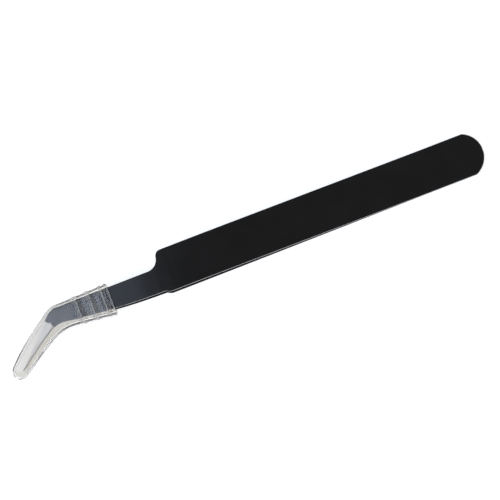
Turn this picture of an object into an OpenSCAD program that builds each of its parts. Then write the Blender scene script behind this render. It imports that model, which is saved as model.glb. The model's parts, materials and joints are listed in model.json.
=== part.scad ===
// Tweezers with bent fine points: two bowed stainless arms welded at the tail,
// an anti-static coat that stops at the bend, and a soft clear cap on the points.
// The tool is drawn with X from the tail towards the points, Y towards the side
// that the points bend to and Z across the pinch. It is then laid on its lower arm.

/* [Arms] */
// Length of the wide handle, from the tail to the shoulder
handle_length = 79.6; // [74:0.2:86]
// Width of the handle
handle_width = 10; // [9.6:0.1:10.4]
// Radius of the rounded tail end
tail_radius = 5.4; // [5.3:0.1:6.5]
// Length of the neck, from the shoulder to where the back edge turns
neck_length = 25.7; // [25:0.1:27]
// Length of the bent part along the handle, from that turn to the points
bend_reach = 12.7; // [12:0.1:13.5]
// How far the points lie to the side of the handle's centre line
point_offset = 10; // [9.5:0.1:10.5]
// Thickness of the steel strip
steel_thickness = 1.0; // [0.9:0.05:1.1]
// Thickness of the steel at the points
point_thickness = 0.35; // [0.3:0.05:0.5]

/* [Bow of the arms] */
// Length of the welded tail
weld_length = 14; // [12:0.5:16]
// Angle at which each arm leaves the weld, in degrees
spread_angle = 4; // [3.6:0.1:4.2]
// Angle at which each arm closes in again towards the points, in degrees
closing_angle = 3.4; // [3.2:0.1:3.6]
// Radius of the bow between the two straight stretches
bow_radius = 200; // [180:5:220]
// Distance from the tail at which the arm is taken to flex
flex_place = 24; // [20:0.5:28]

/* [Welds] */
// Diameter of each weld nugget
nugget_diameter = 2.4; // [2:0.1:3]
// Depth that a nugget reaches into each arm
nugget_depth = 0.4; // [0.3:0.05:0.6]
// Number of weld nuggets
nugget_count = 3; // [2:1:3]

/* [Coat] */
// Thickness of the coat on every face
coat_thickness = 0.1; // [0.08:0.01:0.12]
// Distance from where the back edge turns to where the coat stops
coat_past_turn = 3.6; // [3.2:0.1:4]

/* [Tip cap] */
// Wall thickness of the cap
cap_wall = 0.55; // [0.5:0.05:0.6]
// How far the mouth reaches behind the centre line, away from the bend
cap_back = 2.15; // [2.1:0.05:2.3]
// How far the mouth reaches in front of the centre line, towards the bend
cap_front = 5.35; // [5.2:0.05:5.5]
// Half height of the cap's mouth, across the two arms
cap_mouth_half_height = 4.8; // [4.75:0.05:5]
// How much the half height falls for each millimetre towards the points
cap_lowering = 0.083; // [0.075:0.001:0.084]
// Length of the rounded nose beyond the last full section
cap_nose = 2; // [1.8:0.1:2.2]
// Distance from the mouth to the first raised ring
cap_ring_first = 1.8; // [1.4:0.1:2]
// How far one raised ring is from the next
cap_ring_pitch = 3.2; // [3:0.1:3.4]
// Width of a raised ring
cap_ring_width = 0.9; // [0.7:0.1:1.1]
// Height of the raised rings
cap_ring_height = 0.18; // [0.1:0.02:0.3]
// Number of raised rings
cap_ring_count = 3; // [1:1:3]

/* [Hidden] */

arm_length = handle_length + neck_length + bend_reach;
half_width = handle_width / 2;
turn_x = handle_length + neck_length;
thinning_x = turn_x - 10;
flex_gap = 0.02;
outside = 40;

// Bow: the straight spread, then an arc, then the straight that closes in
bow_start = handle_length - 19.6;
bow_middle = bow_start + bow_radius * sin(spread_angle);
bow_end = bow_middle + bow_radius * sin(closing_angle);
bow_base = (bow_start - weld_length) * tan(spread_angle) - bow_radius * cos(spread_angle);

// Height of an arm's inner face above the middle plane
function inner_z(x) =
    x <= weld_length ? 0
    : x <= bow_start ? (x - weld_length) * tan(spread_angle)
    : x <= bow_end ? bow_base + sqrt(bow_radius * bow_radius - pow(x - bow_middle, 2))
    : inner_z(bow_end) - (x - bow_end) * tan(closing_angle);

// Thickness of the steel, ground down towards the points
function steel_at(x) = x <= thinning_x ? steel_thickness
    : steel_thickness - (steel_thickness - point_thickness)
      * (x - thinning_x) / (arm_length - thinning_x);

// Points of a circular arc from p to q that turns by an angle, left when positive.
// An arc that carries on from another starts at its second point, first = 1
function arc(p, q, turn, steps, first = 0) =
    let (chord = q - p, heading = atan2(chord.y, chord.x) - turn / 2,
         radius = norm(chord) / (2 * sin(turn / 2)))
    [for (i = [first:steps]) p + radius * [sin(heading + turn * i / steps) - sin(heading),
                                           cos(heading) - cos(heading + turn * i / steps)]];

// Outline moved inwards by a distance, for an outline that runs anticlockwise
function unit(v) = v / norm(v);
function inset(outline, depth) =
    let (count = len(outline))
    [for (i = [0:count - 1])
        let (before = unit(outline[i] - outline[(i + count - 1) % count]),
             after = unit(outline[(i + 1) % count] - outline[i]),
             n1 = [-before.y, before.x], n2 = [-after.y, after.x])
        outline[i] + depth * (n1 + n2) / (1 + n1 * n2)];

// Plan of an arm: tail, shoulder, neck, bent point, and back along the front edge
shoulder_round = 0.9;
shoulder_hollow = 2.8;
neck_back = -1.2;
neck_front = 4.45;
step_length = 1;
point_half = 0.15 + coat_thickness;
point_slope = 39.5;
tail_corner = tail_radius - sqrt(tail_radius * tail_radius - half_width * half_width);
tail_turn = 2 * asin(half_width / tail_radius);
back_turn = [turn_x + 2.6, -0.1];
front_turn = [turn_x + 2.25, 2.8];
neck_end = [turn_x - 0.5, 2.28];
neck_start = [handle_length + step_length / 2, neck_front];
point_middle = [arm_length - point_half, point_offset - point_half];
point_side = point_half * [sin(point_slope), -cos(point_slope)];

arm_outline = concat(
    arc([tail_corner, half_width], [tail_corner, -half_width], tail_turn, 20),
    arc([handle_length - shoulder_round, -half_width],
        [handle_length, shoulder_round - half_width], 90, 6),
    arc([handle_length, neck_back - shoulder_hollow],
        [handle_length + shoulder_hollow, neck_back], -90, 8),
    arc([turn_x, neck_back], back_turn, 49, 6),
    arc(back_turn, point_middle + point_side, -9, 5, 1),
    arc(point_middle + point_side, point_middle - point_side, 180, 3, 1),
    arc(point_middle - point_side, front_turn, -8, 5, 1),
    arc(front_turn, neck_end, -41, 6, 1),
    arc(neck_end, neck_start, 10, 8, 1),
    [[handle_length - step_length / 2, half_width]]
);

// Stations along an arm at which its side view turns
bow_steps = 8;
function stations(from, to) = concat([from],
    [for (x = concat([weld_length, bow_start],
                     [for (i = [1:bow_steps]) bow_start + (bow_end - bow_start) * i / bow_steps],
                     [thinning_x]))
        if (x > from && x < to) x], [to]);
function reverse(list) = [for (i = [len(list) - 1:-1:0]) list[i]];

// Side view of the upper arm between two stations, grown by a margin on both faces
module arm_side(from, to, margin) {
    xs = stations(from, to);
    polygon(concat([for (x = xs) [x, inner_z(x) - margin]],
                   [for (x = reverse(xs)) [x, inner_z(x) + steel_at(x) + margin]]));
}

// Side view of both arms at the tail, where they meet in a notch
module tail_side(to, margin) {
    notch = weld_length + margin / tan(spread_angle);
    xs = stations(-outside, to);
    inner = concat([[notch, 0]], [[to, inner_z(to) - margin]]);
    outer = [for (x = reverse(xs)) [x, inner_z(x) + steel_at(x) + margin]];
    half = concat(inner, outer);
    polygon(concat(half, [for (p = reverse(half)) if (p.y > 0) [p.x, -p.y]]));
}

// A side view given the plan of an arm, the plan moved inwards by a depth
module cut_to_plan(depth) {
    intersection() {
        translate([0, 0, -outside]) linear_extrude(height = 2 * outside)
            polygon(inset(arm_outline, depth));
        rotate([90, 0, 0]) linear_extrude(height = 2 * outside, center = true) children();
    }
}

// Weld nuggets, set in a row along the tail
module nuggets() {
    for (i = [0:nugget_count - 1])
        translate([weld_length * (i + 1.2) / (nugget_count + 0.8), 0, -nugget_depth])
            cylinder(d = nugget_diameter, h = 2 * nugget_depth, $fn = 48);
}

module steel_root() {
    difference() {
        cut_to_plan(coat_thickness) arm_side(-outside, flex_place - flex_gap, 0);
        nuggets();
    }
}

module steel_blade() {
    cut_to_plan(coat_thickness) arm_side(flex_place, arm_length + outside, 0);
}

// Everything on the handle's side of the line where the coat stops
module coated_zone() {
    translate([turn_x, neck_back, -outside]) rotate([0, 0, point_slope])
        translate([coat_past_turn - 4 * outside, -2 * outside, 0])
            cube([4 * outside, 4 * outside, 2 * outside]);
}

module blade_coat() {
    intersection() {
        difference() {
            cut_to_plan(0) arm_side(flex_place, arm_length + outside, coat_thickness);
            cut_to_plan(coat_thickness) arm_side(flex_place - 1, arm_length + outside, 0);
        }
        coated_zone();
    }
}

// Cap: flat sections across the sleeve, round the bend and down to the nose. Each
// gives its back edge and then its front edge in plan, X counted from the mouth
cap_start = arm_length - 25.5;
cap_sections = [for (p = [
    [0, -cap_back, 0, cap_front], [10.7, -1.92, 9.9, 4.25], [12.7, -1.9, 11.1, 4.2],
    [13.9, -1.82, 12.1, 4.3], [14.9, -1.44, 13.0, 4.45], [15.9, -0.76, 13.9, 4.7],
    [17.3, 0.25, 15.0, 5.1], [19.4, 1.6, 16.8, 6.03], [21.9, 3.41, 18.9, 7.35],
    [24.3, 5.4, 21.3, 8.95], [25.9, 6.97, 23.1, 10.2], [27.0, 8.06, 24.4, 11.1]])
    [[cap_start + p[0], p[1]], [cap_start + p[2], p[3]]]];
cap_corner = 1.1;
corner_steps = 5;

// One ring of the cap round a section, drawn in by a depth. It is moved ahead by a
// distance and shrunk on the nose
function cap_ring(section, depth, ahead = 0, shrink = 1) =
    let (middle = (section[0] + section[1]) / 2,
         side = unit(section[1] - section[0]),
         a = (norm(section[1] - section[0]) / 2 - depth) * shrink,
         b = (cap_mouth_half_height - cap_lowering * (middle.x - cap_start) - depth) * shrink,
         oval = min(1, max(0, (middle.x - cap_start - 17) / 4)),
         r = max(cap_corner - depth, 0.3) * (1 - oval) * shrink + min(a, b) * oval * 0.995,
         place = middle + ahead * [side.y, -side.x])
    [for (quarter = [0:3]) for (j = [0:corner_steps])
        let (t = 90 * (quarter + j / corner_steps),
             across = (quarter == 0 || quarter == 3 ? a - r : r - a) + r * cos(t),
             up = (quarter < 2 ? b - r : r - b) + r * sin(t))
        [place.x + across * side.x, place.y + across * side.y, up]];

// Place between the first two sections, a distance along the sleeve
function on_sleeve(x) = let (share = x / (cap_sections[1][0].x - cap_start))
    cap_sections[0] * (1 - share) + cap_sections[1] * share;
last_section = cap_sections[len(cap_sections) - 1];
nose_middle = (last_section[0] + last_section[1]) / 2;
nose_inside = cap_nose - cap_wall - 0.15;
function nose_pole(ahead) = let (side = unit(last_section[1] - last_section[0]),
                                 place = nose_middle + ahead * [side.y, -side.x])
    [place.x, place.y, 0];

outer_rings = concat(
    [cap_ring(cap_sections[0], 0)],
    [for (i = [0:cap_ring_count - 1]) for (k = [-1:1])
        cap_ring(on_sleeve(cap_ring_first + i * cap_ring_pitch + k * cap_ring_width / 2),
                 k == 0 ? -cap_ring_height : 0)],
    [for (i = [1:len(cap_sections) - 1]) cap_ring(cap_sections[i], 0)],
    [for (t = [25, 50, 72]) cap_ring(last_section, 0, cap_nose * sin(t), cos(t))]);
inner_rings = concat(
    [for (section = cap_sections) cap_ring(section, cap_wall)],
    [for (t = [35, 65]) cap_ring(last_section, cap_wall, nose_inside * sin(t), cos(t))]);

// Lays the tool down as it rests, on the end of its tail and the crest of its lower
// arm. The origin is then under the middle of the whole tool
coated_thickness = steel_thickness + coat_thickness;
rest_angle = asin(bow_radius / norm([bow_middle, bow_base])) - atan2(-bow_base, bow_middle);
middle_x = (nose_middle.x + cap_nose) * cos(rest_angle) / 2;
middle_y = (nose_middle.y + cap_nose - half_width) / 2;
module laid() {
    translate([-middle_x, -middle_y, coated_thickness * cos(rest_angle)])
        rotate([0, -rest_angle, 0]) children();
}

module upper_arm_root() { color("silver") laid() steel_root(); }

module lower_arm_root() { color("silver") laid() mirror([0, 0, 1]) steel_root(); }

module spot_welds() { color("lightsteelblue") laid() nuggets(); }

module tail_coating() {
    color("#1c1c1e") laid() difference() {
        cut_to_plan(0) tail_side(flex_place - flex_gap, coat_thickness);
        cut_to_plan(coat_thickness) tail_side(flex_place + 1, 0);
    }
}

module upper_arm_blade() { color("gainsboro") laid() steel_blade(); }

module lower_arm_blade() { color("gainsboro") laid() mirror([0, 0, 1]) steel_blade(); }

module upper_blade_coating() { color("#1c1c1e") laid() blade_coat(); }

module lower_blade_coating() { color("#1c1c1e") laid() mirror([0, 0, 1]) blade_coat(); }

module tip_cap() {
    sides = 4 * (corner_steps + 1);
    outer_count = len(outer_rings);
    inner_count = len(inner_rings);
    inner_first = outer_count * sides;
    outer_pole = inner_first + inner_count * sides;
    points = concat([for (r = outer_rings) each r], [for (r = inner_rings) each r],
                    [nose_pole(cap_nose), nose_pole(nose_inside)]);
    faces = concat(
        [for (i = [0:outer_count - 2]) for (j = [0:sides - 1]) let (k = (j + 1) % sides)
            [i * sides + j, i * sides + k, (i + 1) * sides + k, (i + 1) * sides + j]],
        [for (j = [0:sides - 1]) [(outer_count - 1) * sides + j,
            (outer_count - 1) * sides + (j + 1) % sides, outer_pole]],
        [for (i = [0:inner_count - 2]) for (j = [0:sides - 1]) let (k = (j + 1) % sides)
            [inner_first + i * sides + k, inner_first + i * sides + j,
             inner_first + (i + 1) * sides + j, inner_first + (i + 1) * sides + k]],
        [for (j = [0:sides - 1])
            [inner_first + (inner_count - 1) * sides + (j + 1) % sides,
             inner_first + (inner_count - 1) * sides + j, outer_pole + 1]],
        [for (j = [0:sides - 1]) let (k = (j + 1) % sides)
            [k, j, inner_first + j, inner_first + k]]);
    color([0.86, 0.88, 0.9, 0.5]) laid() polyhedron(points, faces, convexity = 6);
}

upper_arm_root();
lower_arm_root();
spot_welds();
tail_coating();
upper_arm_blade();
lower_arm_blade();
upper_blade_coating();
lower_blade_coating();
tip_cap();
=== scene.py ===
import json
import math
import random
import bmesh
import bpy
from mathutils import Matrix, Vector


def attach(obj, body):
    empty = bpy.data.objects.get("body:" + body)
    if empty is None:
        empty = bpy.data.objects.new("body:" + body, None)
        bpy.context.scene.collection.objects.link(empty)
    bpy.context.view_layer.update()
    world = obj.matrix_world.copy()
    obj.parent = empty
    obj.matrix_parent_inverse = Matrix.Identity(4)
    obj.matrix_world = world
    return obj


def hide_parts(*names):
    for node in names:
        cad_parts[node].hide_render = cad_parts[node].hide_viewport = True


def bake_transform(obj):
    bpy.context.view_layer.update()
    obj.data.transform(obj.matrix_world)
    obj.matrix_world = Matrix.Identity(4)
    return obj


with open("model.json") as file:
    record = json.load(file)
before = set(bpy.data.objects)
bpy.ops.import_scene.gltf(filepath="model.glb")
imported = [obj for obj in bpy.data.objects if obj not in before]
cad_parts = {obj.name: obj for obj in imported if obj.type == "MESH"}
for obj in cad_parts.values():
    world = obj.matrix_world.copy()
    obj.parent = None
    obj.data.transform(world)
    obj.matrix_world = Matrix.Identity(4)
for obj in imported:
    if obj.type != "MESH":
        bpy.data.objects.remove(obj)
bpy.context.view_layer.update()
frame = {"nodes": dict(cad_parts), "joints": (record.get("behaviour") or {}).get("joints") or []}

mm = 0.001
samePlace = 0.001 * mm                               # corners closer than this count as one


def pickNothing():
    bpy.ops.object.select_all(action="DESELECT")


def only(piece):
    if bpy.context.mode != "OBJECT":
        bpy.ops.object.mode_set(mode="OBJECT")
    pickNothing()
    bpy.context.view_layer.objects.active = piece
    piece.select_set(True)


def edit(piece):
    only(piece)
    bpy.ops.object.mode_set(mode="EDIT")


def leaveEdit():
    bpy.ops.object.mode_set(mode="OBJECT")


def pickAll():
    bpy.ops.mesh.select_all(action="SELECT")


def pickVerts(piece, test):
    # picks the corners whose place passes the test, with the edges and faces between them
    mesh = bmesh.from_edit_mesh(piece.data)
    bpy.context.tool_settings.mesh_select_mode = (True, False, False)
    for face in mesh.faces:
        face.select = False
    for edge in mesh.edges:
        edge.select = False
    for vert in mesh.verts:
        vert.select = test(vert.co)
    mesh.select_mode = {"VERT"}
    mesh.select_flush_mode()
    bmesh.update_edit_mesh(piece.data)


def pickedVerts(piece):
    return [vert.co.copy() for vert in bmesh.from_edit_mesh(piece.data).verts if vert.select]


def finishWith(piece, kind, **settings):
    # adds a modifier and applies it
    only(piece)
    modifier = piece.modifiers.new(kind.title(), kind)
    for key, value in settings.items():
        setattr(modifier, key, value)
    bpy.ops.object.modifier_apply(modifier=modifier.name)


def turnPicked(angle, axis, centre):
    # with no window the operator turns the other way, so the angle is reversed
    bpy.ops.transform.rotate(value=-angle, orient_axis=axis, center_override=centre)


def copyPiece(piece, name):
    only(piece)
    bpy.ops.object.duplicate()
    copy = bpy.context.view_layer.objects.active
    copy.name = copy.data.name = name
    return copy


# Where the tool lies, worked out from the frame's joints
joints = {joint["name"]: joint for joint in frame["joints"]}
along = Vector(joints["cap_pull"]["axis"])
layAngle = math.atan2(along.z, along.x)
flexPlace = 24 * mm                                  # hinges' distance from the tail
hingeMiddle = (Vector(joints["upper_arm_flex"]["pos_m"])
               + Vector(joints["lower_arm_flex"]["pos_m"])) / 2
toolOrigin = hingeMiddle - along * flexPlace
layTurn = Matrix.Rotation(-layAngle, 4, "Y")


def laid(point):
    return toolOrigin + layTurn @ Vector(point)


def layDown(piece):
    only(piece)
    piece.rotation_euler = (0, -layAngle, 0)
    piece.location = toolOrigin
    bpy.ops.object.transform_apply(location=True, rotation=True, scale=True)


# One strip, in millimetres and degrees. A section is the X and Y of the back edge and then
# of the front edge, seen from above; the tail's round end is worked out from its radius
strip = {
    "tailRadius": 5.4,
    "tailAngles": (7, 15, 24, 33, 42, 51, 60, 67.8),
    "sections": [
        (14, -5, 14, 5), (15.6, -5, 15.6, 5), (78.2, -5, 78.3, 5), (78.66, -4.91, 78.75, 5),
        (79.04, -4.68, 79.05, 4.98), (79.33, -4.35, 79.4, 4.84), (79.53, -3.95, 79.72, 4.66),
        (79.65, -3.35, 80.05, 4.47), (79.95, -2.6, 80.6, 4.44), (80.5, -1.92, 81.0, 4.44),
        (81.2, -1.47, 81.5, 4.43), (81.8, -1.26, 81.95, 4.43), (82.4, -1.2, 82.4, 4.43),
        (86.3, -1.2, 86.3, 4.31), (89.4, -1.2, 89.4, 4.14), (92.5, -1.2, 92.5, 3.9),
        (95.3, -1.2, 95.3, 3.63), (98.7, -1.2, 98.7, 3.23), (101.7, -1.2, 101.7, 2.79),
        (104.2, -1.2, 103.9, 2.43), (105.3, -1.2, 104.8, 2.28), (105.78, -1.18, 105.1, 2.24),
        (106.26, -1.09, 105.4, 2.22), (106.72, -0.93, 105.75, 2.23), (107.15, -0.71, 106.1, 2.27),
        (107.55, -0.43, 106.5, 2.35), (107.9, -0.1, 106.9, 2.49), (108.5, 0.56, 107.3, 2.67),
        (109.07, 1.19, 107.55, 2.8), (110.26, 2.46, 108.86, 3.62), (111.47, 3.7, 110.15, 4.45),
        (112.71, 4.93, 111.43, 5.31), (113.98, 6.12, 112.7, 6.2), (115.27, 7.29, 113.94, 7.1),
        (116.58, 8.44, 115.3, 8.12), (117.6, 9.3, 117.0, 9.46), (117.91, 9.62, 117.65, 9.88)],
    "weldEnd": 14, "innerRise": 1.5,                 # the coat wraps the inner face past the weld
    "steelLift": 0.002, "coatLift": 0.012,           # hairline between the arms along the weld
    "thinningFrom": 95.3, "length": 118,
    "thickness": 1.1, "pointThickness": 0.45,        # steel with the outer coat
    "coat": 0.1,
    "spread": 4, "closing": 3.4, "bowStart": 60, "bowEnd": 85.81, "bowSteps": 8,
    "stretch": 1.0015,                               # makes up for what the bending takes up
    "pastCut": 0.06,                                 # what turns starts just past each cut
    "flexSpan": (19, 29),                            # the arm gives here when squeezed
    "flexCuts": (18, 20, 22, 24, 26, 28, 30, 32, 36, 42, 48, 54),
    "coatRound": 0.2, "steelRound": 0.09, "roundFrom": 50, "smoothBelow": 35,
}


def stripDepth(x, inset):
    # lowest and highest point of the flat strip at a distance from the tail
    ground = max(0, (x - strip["thinningFrom"]) / (strip["length"] - strip["thinningFrom"]))
    top = strip["thickness"] * (1 - ground) + strip["pointThickness"] * ground
    rise = min(1, max(0, (x - strip["weldEnd"]) / strip["innerRise"]))
    low = -strip["coat"] * rise
    if inset:                                        # the steel itself
        return (strip["steelLift"] if rise == 0 else low + inset), top - inset
    return low + strip["coatLift"] * (1 - rise), top


def flatStrip(name, inset):
    # the strip before it is bowed, drawn out section by section from its tail
    r, stations = strip["tailRadius"], []
    for angle in strip["tailAngles"]:
        x, y = r * (1 - math.cos(math.radians(angle))), r * math.sin(math.radians(angle))
        stations.append((x, -y, x, y))
    stations += strip["sections"]
    pickNothing()
    bpy.ops.mesh.primitive_plane_add(size=1, rotation=(0, math.radians(90), 0))
    piece = bpy.context.object
    piece.name = piece.data.name = name
    bpy.ops.object.transform_apply(location=False, rotation=True, scale=True)
    edit(piece)
    pickAll()
    last = (Vector((0, 0, 0)), 0.0, 1.0, 1.0)
    for number, (backX, backY, frontX, frontY) in enumerate(stations):
        back, front = Vector((backX, backY, 0)), Vector((frontX, frontY, 0))
        middle, across = (back + front) / 2, front - back
        turn = math.atan2(-across.x, across.y)
        low, high = stripDepth(middle.x, inset)
        middle.z = (low + high) / 2
        if number == 0:
            middle.x += inset
        if number == len(stations) - 1:
            middle -= inset * Vector((across.y, -across.x, 0)).normalized()
        middle *= mm
        width, depth = (across.length - 2 * inset) * mm, (high - low) * mm
        move = middle - last[0]
        if number == 0:
            bpy.ops.transform.translate(value=move)
        else:
            bpy.ops.mesh.extrude_region_move(TRANSFORM_OT_translate={"value": move})
        if abs(turn - last[1]) > 1e-6:
            turnPicked(turn - last[1], "Z", middle)
        grow = width / last[2]
        bpy.ops.transform.resize(value=(grow, grow, depth / last[3]), center_override=middle)
        last = (middle, turn, width, depth)
    pickAll()
    bpy.ops.mesh.normals_make_consistent(inside=False)
    leaveEdit()
    return piece


def cutAcross(place):
    pickAll()
    bpy.ops.mesh.bisect(plane_co=(place * mm, 0, 0), plane_no=(1, 0, 0))


def bowStrip(piece):
    # the strip leaves the weld at one angle, bows over eight small turns and closes in again
    edit(piece)
    pickAll()
    bpy.ops.transform.resize(value=(strip["stretch"], 1, 1), center_override=(0, 0, 0))
    for place in strip["flexCuts"]:
        cutAcross(place)
    step = (strip["bowEnd"] - strip["bowStart"]) / strip["bowSteps"]
    closing = -(strip["spread"] + strip["closing"]) / strip["bowSteps"]
    turns = [(strip["weldEnd"], strip["spread"])]
    turns += [(strip["bowStart"] + (i + 0.5) * step, closing) for i in range(strip["bowSteps"])]
    slope, height, before = 0, 0, 0
    for place, angle in turns:
        height += (place - before) * math.tan(math.radians(slope))
        slope, before = slope + angle, place
        if angle < 0:
            cutAcross(place)
        pickVerts(piece, lambda co: co.x > (place + strip["pastCut"]) * mm)
        turnPicked(-math.radians(angle), "Y", (place * mm, 0, height * mm))
    leaveEdit()


def roundEdges(piece, width, segments):
    finishWith(piece, "BEVEL", width=width * mm, segments=segments, limit_method="ANGLE",
               angle_limit=math.radians(strip["roundFrom"]))


def smoothPiece(piece):
    only(piece)
    bpy.ops.object.shade_smooth_by_angle(angle=math.radians(strip["smoothBelow"]))
    finishWith(piece, "WEIGHTED_NORMAL", keep_sharp=True)


# The coat stops on a ragged line across the start of the point
coatEnd = {
    "corner": (105.3, -1.2), "slope": 39.5,          # where the point turns off, and which way
    "reach": 3.8, "side": 1.4,                       # from that corner to the line's middle
    "width": 4.6, "depth": 16, "height": 12,         # of the block that takes the coat off
    "teeth": 17, "ragged": 0.32, "seed": 5,
    "trimPlace": (112, 4, 0), "trimNormal": (1, 0.8, 0),    # shortens the coat first
}


def raggedCutter():
    # a block whose near side is a ragged upright face, as where a dipped coat is broken off
    c = coatEnd
    slope = math.radians(c["slope"])
    ahead = Vector((math.cos(slope), math.sin(slope), 0))
    side = Vector((-ahead.y, ahead.x, 0))
    middle = (Vector((*c["corner"], 0)) + ahead * c["reach"] + side * c["side"]) * mm
    pickNothing()
    bpy.ops.mesh.primitive_plane_add(size=1)
    cutter = bpy.context.object
    edit(cutter)
    pickAll()
    bpy.ops.transform.resize(value=(0, c["width"] * mm, 1))     # first a line along Y
    bpy.ops.mesh.remove_doubles(threshold=samePlace)
    pickAll()
    bpy.ops.mesh.delete(type="ONLY_FACE")
    pickAll()
    bpy.ops.mesh.subdivide(number_cuts=c["teeth"])
    draw = random.Random(c["seed"])
    places = sorted({round(v.y, 7) for v in pickedVerts(cutter)})
    for place in places:
        pickVerts(cutter, lambda co: abs(co.y - place) < samePlace)
        bpy.ops.transform.translate(value=(draw.uniform(-1, 1) * c["ragged"] * mm, 0, 0))
    pickAll()
    bpy.ops.mesh.extrude_region_move(TRANSFORM_OT_translate={"value": (0, 0, c["height"] * mm)})
    pickAll()
    bpy.ops.transform.translate(value=(0, 0, -c["height"] / 2 * mm))
    bpy.ops.mesh.extrude_region_move(TRANSFORM_OT_translate={"value": (c["depth"] * mm, 0, 0)})
    pickAll()
    turnPicked(slope, "Z", (0, 0, 0))
    bpy.ops.transform.translate(value=middle)
    bpy.ops.mesh.normals_make_consistent(inside=False)
    leaveEdit()
    return cutter


def mirrorAcross(piece, name):
    # the lower arm's piece is the upper one turned over through the middle plane
    copy = copyPiece(piece, name)
    edit(copy)
    pickAll()
    bpy.ops.transform.resize(value=(1, 1, -1), center_override=(0, 0, 0))
    bpy.ops.mesh.flip_normals()
    leaveEdit()
    return copy


print("drawing out the strips")
upperStrip = flatStrip("upperStrip", strip["coat"])
bowStrip(upperStrip)
core = copyPiece(upperStrip, "core")                 # hollows the coat
roundEdges(upperStrip, strip["steelRound"], 2)

print("dipping the coat")
upperCoat = flatStrip("upperCoat", 0)
bowStrip(upperCoat)
edit(upperCoat)
pickAll()
bpy.ops.mesh.bisect(plane_co=Vector(coatEnd["trimPlace"]) * mm, plane_no=coatEnd["trimNormal"],
                    clear_outer=True, use_fill=True)
leaveEdit()
roundEdges(upperCoat, strip["coatRound"], 3)
cutter = raggedCutter()
finishWith(upperCoat, "BOOLEAN", operation="DIFFERENCE", object=cutter, solver="EXACT")
finishWith(upperCoat, "BOOLEAN", operation="DIFFERENCE", object=core, solver="EXACT")
for extra in (cutter, core):
    bpy.data.objects.remove(extra)
lowerStrip = mirrorAcross(upperStrip, "lowerStrip")
lowerCoat = mirrorAcross(upperCoat, "lowerCoat")
for piece in (upperStrip, lowerStrip, upperCoat, lowerCoat):
    smoothPiece(piece)


# The clear cap, with sections as for the strip but X counted from its mouth
cap = {
    "mouth": 92.5, "wall": 0.55,
    "halfHeight": 4.8, "lowering": 0.083,            # lower by this share of the way to the nose
    "corner": 1.1, "cornerSegments": 5,
    "nose": 2.0, "noseInside": 1.5, "noseAngles": (22, 42, 60, 76),
    "sections": [
        (0, -2.15, 0, 5.35), (10.7, -1.92, 9.9, 4.25), (12.7, -1.9, 11.1, 4.2),
        (13.9, -1.82, 12.1, 4.3), (14.9, -1.44, 13.0, 4.45), (15.9, -0.76, 13.9, 4.7),
        (17.3, 0.25, 15.0, 5.1), (19.4, 1.6, 16.8, 6.03), (21.9, 3.41, 18.9, 7.35),
        (24.3, 5.4, 21.3, 8.95), (25.9, 6.97, 23.1, 10.2), (27.0, 8.06, 24.4, 11.1)],
    "ringPlaces": (0.42, 1.8, 5.0, 8.2), "ringWidth": 0.9, "ringHeight": 0.2,
    # across each ring, as shares of its width and height
    "ringShape": ((-0.5, 0), (-0.28, 0.8), (0, 1), (0.28, 0.8), (0.5, 0)),
    "ovalFrom": 15, "ovalTo": 22, "ovalShare": 0.35, "rimCrease": 0.6,
}


def capStations(depth):
    # middle, turn, half width, half height and roundness of each section at a depth in the wall
    c, plan = cap, []
    mouth, second = c["sections"][:2]
    plan.append((mouth, 0))
    for place in c["ringPlaces"]:
        for offset, height in ((0, 0),) if depth else c["ringShape"]:
            at = place + offset * c["ringWidth"]
            if at <= 0.05:                           # the first ring starts at the mouth
                continue
            share = at / second[0]
            section = tuple(m + (s - m) * share for m, s in zip(mouth, second))
            plan.append((section, height * c["ringHeight"]))
    plan += [(section, 0) for section in c["sections"][1:]]
    stations = []
    for (backX, backY, frontX, frontY), height in plan:
        back, front = Vector((backX, backY, 0)), Vector((frontX, frontY, 0))
        middle, across = (back + front) / 2, front - back
        oval = min(1, max(0, (middle.x - c["ovalFrom"]) / (c["ovalTo"] - c["ovalFrom"])))
        high = c["halfHeight"] - c["lowering"] * middle.x
        stations.append((middle + Vector((c["mouth"], 0, 0)), math.atan2(-across.x, across.y),
                         across.length / 2 + height - depth, high + height - depth, oval))
    middle, turn, wide, high, oval = stations[-1]
    ahead = Vector((math.cos(turn), math.sin(turn), 0))
    reach = c["noseInside"] if depth else c["nose"]
    for angle in c["noseAngles"]:
        t = math.radians(angle)
        stations.append((middle + ahead * reach * math.sin(t), turn, wide * math.cos(t),
                         high * math.cos(t), 1))
    stations.append((middle + ahead * reach, turn, 0, 0, 1))
    return stations


def fitLoop(piece, station, lastTurn):
    # moves, turns, rounds and sizes the picked loop to a station
    middle, turn, wide, high, oval = station
    middle = middle * mm
    picked = pickedVerts(piece)
    centre = sum(picked, Vector()) / len(picked)
    bpy.ops.transform.translate(value=middle - centre)
    if abs(turn - lastTurn) > 1e-6:
        turnPicked(turn - lastTurn, "Z", middle)
    if wide == 0:
        bpy.ops.mesh.merge(type="CENTER")
        return
    if oval > 0:
        bpy.ops.transform.tosphere(value=cap["ovalShare"] * oval)
    side = Vector((-math.sin(turn), math.cos(turn), 0))
    picked = pickedVerts(piece)
    widest = max(abs((co - middle).dot(side)) for co in picked)
    highest = max(abs(co.z - middle.z) for co in picked)
    grow = wide * mm / widest
    bpy.ops.transform.resize(value=(grow, grow, high * mm / highest), center_override=middle)


def sleeveWall(piece, stations):
    # extrudes the picked loop from the mouth to the nose
    turn = 0
    for station in stations:
        bpy.ops.mesh.extrude_region_move()
        fitLoop(piece, station, turn)
        turn = station[1]


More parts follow.
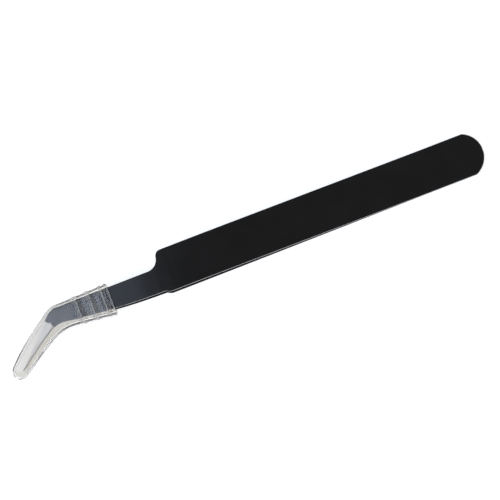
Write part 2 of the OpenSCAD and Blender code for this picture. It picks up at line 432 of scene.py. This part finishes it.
def makeCap():
    c = cap
    outer, inner = capStations(0), capStations(c["wall"])
    mouth = outer[0][0] * mm
    pickNothing()
    bpy.ops.mesh.primitive_plane_add(size=1, location=mouth, rotation=(0, math.radians(90), 0))
    piece = bpy.context.object
    piece.name = piece.data.name = "tipCap"
    bpy.ops.object.transform_apply(location=True, rotation=True, scale=True)
    edit(piece)
    pickAll()
    bpy.ops.transform.resize(value=(1, 2 * outer[0][2] * mm, 2 * outer[0][3] * mm),
                             center_override=mouth)
    bpy.ops.mesh.bevel(offset=c["corner"] * mm, segments=c["cornerSegments"],
                       affect="VERTICES")
    pickAll()
    bpy.ops.mesh.delete(type="ONLY_FACE")
    pickAll()
    sleeveWall(piece, outer[1:])
    pickVerts(piece, lambda co: abs(co.x - mouth.x) < samePlace)
    bpy.ops.mesh.extrude_region_move()
    fitLoop(piece, inner[0], 0)                      # the cut end of the wall
    sleeveWall(piece, inner[1:])
    pickAll()
    bpy.ops.mesh.normals_make_consistent(inside=False)
    pickVerts(piece, lambda co: abs(co.x - mouth.x) < samePlace)
    bpy.ops.transform.edge_crease(value=c["rimCrease"])
    leaveEdit()
    finishWith(piece, "SUBSURF", levels=1, render_levels=1)
    only(piece)
    bpy.ops.object.shade_smooth()
    return piece


print("moulding the tip cap")
tipCap = makeCap()


def linear(hexColour):
    parts = [int(hexColour[i:i + 2], 16) / 255 for i in (1, 3, 5)]
    return [p / 12.92 if p <= 0.04045 else ((p + 0.055) / 1.055) ** 2.4 for p in parts] + [1]


def newMaterial(name):
    material = bpy.data.materials.new(name)
    material.use_nodes = True
    tree = material.node_tree
    return material, tree, tree.nodes["Principled BSDF"]


def add(tree, kind, options=None, inputs=None, stops=()):
    # adds a node, with values or sockets for its inputs and, on a colour ramp, its stops
    node = tree.nodes.new(kind)
    for key, value in (options or {}).items():
        setattr(node, key, value)
    for key, value in (inputs or {}).items():
        if isinstance(value, bpy.types.NodeSocket):
            tree.links.new(value, node.inputs[key])
        else:
            node.inputs[key].default_value = value
    for number, (place, colour) in enumerate(stops):
        elements = node.color_ramp.elements
        element = elements[number] if number < 2 else elements.new(place)
        element.position = place
        element.color = linear(colour) if isinstance(colour, str) else (colour,) * 3 + (1,)
    return node


# Anti-static epoxy coat, sprayed and baked: near black and satin, with a fine orange peel
# that breaks up its reflections
epoxy = {
    "peel": 0.35 * mm, "speck": 0.08 * mm, "cloud": 9 * mm,          # sizes of its marks
    "shades": [(0.3, "#181716"), (0.7, "#1c1b1a")],
    "roughness": (0.15, 0.2), "relief": 0.012 * mm, "reliefShare": 0.3, "speckShare": 0.35,
    "ior": 1.5, "specular": 0.38,
}


def epoxyCoat():
    material, tree, shader = newMaterial("anti-static epoxy coat")
    place = add(tree, "ShaderNodeTexCoord").outputs["Object"]
    peel = add(tree, "ShaderNodeTexNoise", {},
               {"Vector": place, "Scale": 1 / epoxy["peel"], "Detail": 3, "Roughness": 0.55})
    speck = add(tree, "ShaderNodeTexNoise", {},
                {"Vector": place, "Scale": 1 / epoxy["speck"], "Detail": 2})
    cloud = add(tree, "ShaderNodeTexNoise", {},
                {"Vector": place, "Scale": 1 / epoxy["cloud"], "Detail": 4, "Roughness": 0.6})
    shade = add(tree, "ShaderNodeValToRGB", {}, {"Fac": cloud.outputs["Fac"]}, epoxy["shades"])
    tree.links.new(shade.outputs["Color"], shader.inputs["Base Color"])
    low, high = epoxy["roughness"]
    gloss = add(tree, "ShaderNodeMapRange", {}, {"Value": cloud.outputs["Fac"],
                "From Min": 0.3, "From Max": 0.7, "To Min": low, "To Max": high})
    tree.links.new(gloss.outputs["Result"], shader.inputs["Roughness"])
    grain = add(tree, "ShaderNodeMath", {"operation": "MULTIPLY_ADD"},
                {0: speck.outputs["Fac"], 1: epoxy["speckShare"], 2: peel.outputs["Fac"]})
    bump = add(tree, "ShaderNodeBump", {}, {"Height": grain.outputs["Value"],
               "Strength": epoxy["reliefShare"], "Distance": epoxy["relief"]})
    tree.links.new(bump.outputs["Normal"], shader.inputs["Normal"])
    shader.inputs["IOR"].default_value = epoxy["ior"]
    shader.inputs["Specular IOR Level"].default_value = epoxy["specular"]
    return material


# Ground stainless steel: bright, with fine lines that the belt leaves along the point
steel = {
    "line": (3 * mm, 0.09 * mm, 0.4 * mm),           # length, width and depth of a belt line
    "slope": coatEnd["slope"],
    "shades": [(0.3, "#cdc5b8"), (0.7, "#ece4d8")],
    "roughness": (0.38, 0.25), "relief": 0.008 * mm, "reliefShare": 0.4,
}


def groundSteel():
    material, tree, shader = newMaterial("ground stainless steel")
    place = add(tree, "ShaderNodeTexCoord").outputs["Object"]
    turned = add(tree, "ShaderNodeMapping", {},
                 {"Vector": place, "Rotation": (0, 0, -math.radians(steel["slope"])),
                  "Scale": [1 / size for size in steel["line"]]})
    lines = add(tree, "ShaderNodeTexNoise", {}, {"Vector": turned.outputs["Vector"],
                "Scale": 1, "Detail": 4, "Roughness": 0.6})
    shade = add(tree, "ShaderNodeValToRGB", {}, {"Fac": lines.outputs["Fac"]}, steel["shades"])
    tree.links.new(shade.outputs["Color"], shader.inputs["Base Color"])
    low, high = steel["roughness"]
    rough = add(tree, "ShaderNodeMapRange", {}, {"Value": lines.outputs["Fac"],
                "From Min": 0.3, "From Max": 0.7, "To Min": low, "To Max": high})
    tree.links.new(rough.outputs["Result"], shader.inputs["Roughness"])
    bump = add(tree, "ShaderNodeBump", {}, {"Height": lines.outputs["Fac"],
               "Strength": steel["reliefShare"], "Distance": steel["relief"]})
    tree.links.new(bump.outputs["Normal"], shader.inputs["Normal"])
    shader.inputs["Metallic"].default_value = 1
    return material


# Weld nuggets: cast-looking steel, straw and blue-grey from the heat
nugget = {
    "patch": 1.2 * mm, "shades": [(0.35, "#8d8f96"), (0.6, "#a89c88")],
    "roughness": 0.45, "relief": 0.03 * mm, "reliefShare": 0.5,
}


def weldMetal():
    material, tree, shader = newMaterial("spot weld nugget")
    place = add(tree, "ShaderNodeTexCoord").outputs["Object"]
    tint = add(tree, "ShaderNodeTexNoise", {},
               {"Vector": place, "Scale": 1 / nugget["patch"], "Detail": 3})
    shade = add(tree, "ShaderNodeValToRGB", {}, {"Fac": tint.outputs["Fac"]}, nugget["shades"])
    tree.links.new(shade.outputs["Color"], shader.inputs["Base Color"])
    bump = add(tree, "ShaderNodeBump", {}, {"Height": tint.outputs["Fac"],
               "Strength": nugget["reliefShare"], "Distance": nugget["relief"]})
    tree.links.new(bump.outputs["Normal"], shader.inputs["Normal"])
    shader.inputs["Metallic"].default_value = 1
    shader.inputs["Roughness"].default_value = nugget["roughness"]
    return material


# Soft clear PVC, dip moulded: glossy and see-through with a trace of grey haze, and dark-edged
# where the wall is seen edge on. Whiter lines on each ring's flanks are painted highlights, with
# some real haze
pvc = {
    "haze": (0.02, 0.08), "hazeGrain": 2.6 * mm, "ringHazeAndSheen": 0.28,
    "shades": [(0.3, "#e2dfda"), (0.7, "#ebe9e4")], "roughness": (0.04, 0.08),
    "ior": 1.36,                                     # under solid PVC's, so the edges stay pale
    "ringSpan": 10 * mm,                             # from the mouth along the sleeve
    # place along that span and how white it is there: painted highlights on the ring flanks, with
    # some real haze
    "flankHazeAndSheenStops": [(0, 0.5), (0.02, 0.8), (0.04, 0), (0.15, 0), (0.175, 1), (0.2, 0.1),
                  (0.455, 0), (0.475, 1), (0.5, 0.1), (0.53, 0.8), (0.55, 0),
                  (0.775, 0), (0.795, 1), (0.82, 0.1), (0.85, 0.7), (0.87, 0), (1, 0)],
}


def clearPvc():
    material, tree, shader = newMaterial("soft clear PVC")
    place = add(tree, "ShaderNodeTexCoord").outputs["Object"]
    haze = add(tree, "ShaderNodeTexNoise", {}, {"Vector": place, "Scale": 1 / pvc["hazeGrain"],
               "Detail": 3, "Roughness": 0.5, "Distortion": 0.8})
    mouth = laid((cap["mouth"] * mm, 0, 0))
    fromMouth = add(tree, "ShaderNodeVectorMath", {"operation": "SUBTRACT"}, {0: place, 1: mouth})
    alongSleeve = add(tree, "ShaderNodeVectorMath", {"operation": "DOT_PRODUCT"},
                      {0: fromMouth.outputs["Vector"], 1: along / pvc["ringSpan"]})
    # painted highlights: the sleeve is made less clear, so whiter, in lines on the ring flanks
    flankHazeAndSheen = add(tree, "ShaderNodeValToRGB", {}, {"Fac": alongSleeve.outputs["Value"]},
                pvc["flankHazeAndSheenStops"])
    low, high = pvc["haze"]
    body = add(tree, "ShaderNodeMapRange", {}, {"Value": haze.outputs["Fac"],
               "From Min": 0.3, "From Max": 0.7, "To Min": 1 - low, "To Max": 1 - high})
    clear = add(tree, "ShaderNodeMath", {"operation": "MULTIPLY_ADD", "use_clamp": True},
                {0: flankHazeAndSheen.outputs["Color"], 1: -pvc["ringHazeAndSheen"], 2: body.outputs["Result"]})
    tree.links.new(clear.outputs["Value"], shader.inputs["Transmission Weight"])
    shade = add(tree, "ShaderNodeValToRGB", {}, {"Fac": haze.outputs["Fac"]}, pvc["shades"])
    tree.links.new(shade.outputs["Color"], shader.inputs["Base Color"])
    low, high = pvc["roughness"]
    gloss = add(tree, "ShaderNodeMapRange", {}, {"Value": haze.outputs["Fac"],
                "From Min": 0.3, "From Max": 0.7, "To Min": low, "To Max": high})
    tree.links.new(gloss.outputs["Result"], shader.inputs["Roughness"])
    shader.inputs["IOR"].default_value = pvc["ior"]
    return material


# Matt paper sweep: plain and pale, lit from below as well so that it stays white
sweep = {"fibre": 1.5 * mm, "shades": [(0.3, "#f4f4f4"), (0.7, "#f8f8f8")], "glow": 0.62}


def paperSweep():
    material, tree, shader = newMaterial("matt paper sweep")
    place = add(tree, "ShaderNodeTexCoord").outputs["Object"]
    fibre = add(tree, "ShaderNodeTexNoise", {},
                {"Vector": place, "Scale": 1 / sweep["fibre"], "Detail": 3})
    shade = add(tree, "ShaderNodeValToRGB", {}, {"Fac": fibre.outputs["Fac"]}, sweep["shades"])
    tree.links.new(shade.outputs["Color"], shader.inputs["Base Color"])
    shader.inputs["Roughness"].default_value = 0.9
    shader.inputs["Specular IOR Level"].default_value = 0.1
    shader.inputs["Emission Color"].default_value = linear("#ffffff")
    shader.inputs["Emission Strength"].default_value = sweep["glow"]
    return material


print("mixing the materials")
coatMaterial, steelMaterial = epoxyCoat(), groundSteel()
weldMaterial, capMaterial = weldMetal(), clearPvc()
for piece, material in ((upperCoat, coatMaterial), (lowerCoat, coatMaterial),
                        (upperStrip, steelMaterial), (lowerStrip, steelMaterial),
                        (tipCap, capMaterial)):
    piece.data.materials.clear()
    piece.data.materials.append(material)
    layDown(piece)
welds = frame["nodes"]["spot_welds"]
welds.data.materials.clear()
welds.data.materials.append(weldMaterial)

# Each piece, the body it belongs to, the parts of model.glb it stands in for and its slot; those
# parts are hidden and the piece is fixed in place, not attached to the body
for piece, body, nodes, slot in (
        (upperStrip, "upper_arm", ("upper_arm_root", "upper_arm_blade"), "stainless_strip"),
        (lowerStrip, "lower_arm", ("lower_arm_root", "lower_arm_blade"), "stainless_strip"),
        (upperCoat, "upper_arm", ("tail_coating", "upper_blade_coating"), "black_coat"),
        (lowerCoat, "lower_arm", ("tail_coating", "lower_blade_coating"), "black_coat")):
    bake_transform(piece)
    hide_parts(*nodes)
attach(tipCap, "cap")
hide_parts("tip_cap")

print("setting up the studio")
studio = {
    "floorSize": 6.0, "floorLevel": -0.02 * mm,
    # aimed in the tool's own millimetres, as is the width that it sees
    "camera": {"aim": (58.65, 2.37, 0), "across": 115.74, "tilt": 3.7, "roll": 21.1,
               "lens": 400, "sensor": 36, "near": 0.01},
    "lightAim": (0.02, 0, 0),
    # name, place in metres, size in metres, power in watts, colour
    "lights": [
        ("tipSide", (0.432, -0.02, 0.80), (0.5, 0.7), 3.5, "#d5e4ff"),
        ("left", (-0.9, 0.5, 0.75), (0.9, 0.9), 4.2, "#ffffff"),
        ("right", (0.2, 1.0, 0.7), (0.9, 0.9), 4.2, "#ffffff"),
        ("back", (0.1, -1.05, 0.75), (0.9, 0.9), 4.2, "#ffffff"),
    ],
    "sky": ("#e9edf2", 0.15),
}
pickNothing()
bpy.ops.mesh.primitive_plane_add(size=studio["floorSize"], location=(0, 0, studio["floorLevel"]))
floor = bpy.context.object
floor.name = "floor"
floor.data.materials.append(paperSweep())

for name, place, size, power, colour in studio["lights"]:
    light = bpy.data.lights.new(name, "AREA")
    light.shape, light.size, light.size_y = "RECTANGLE", *size
    light.energy = power
    light.color = linear(colour)[:3]
    lamp = bpy.data.objects.new(name, light)
    lamp.location = place
    ray = Vector(studio["lightAim"]) - Vector(place)
    lamp.rotation_euler = ray.to_track_quat("-Z", "Y").to_euler()
    bpy.context.scene.collection.objects.link(lamp)

world = bpy.data.worlds.new("studio")
world.use_nodes = True
sky = world.node_tree.nodes["Background"]
sky.inputs["Color"].default_value = linear(studio["sky"][0])
sky.inputs["Strength"].default_value = studio["sky"][1]
bpy.context.scene.world = world

view = studio["camera"]
cameraData = bpy.data.cameras.new("camera")
cameraData.lens = view["lens"]
cameraData.sensor_width = view["sensor"]
cameraData.clip_start = view["near"]
camera = bpy.data.objects.new("camera", cameraData)
bpy.context.scene.collection.objects.link(camera)
roll, tilt = math.radians(view["roll"]), math.radians(view["tilt"])
c, s = math.cos(roll), math.sin(roll)
axes = Matrix(((-c, -s, 0), (s, -c, 0), (0, 0, 1))).to_4x4()     # right, up and back, in columns
axes = Matrix.Rotation(-tilt, 4, "X") @ axes
distance = view["across"] * mm * view["lens"] / cameraData.sensor_width
place = Vector(view["aim"]) * mm + axes.col[2].to_3d() * distance
camera.matrix_world = Matrix.Translation(toolOrigin) @ layTurn @ Matrix.Translation(place) @ axes
bpy.context.scene.camera = camera
bpy.context.scene.view_settings.view_transform = "Standard"     # keeps the pale floor white
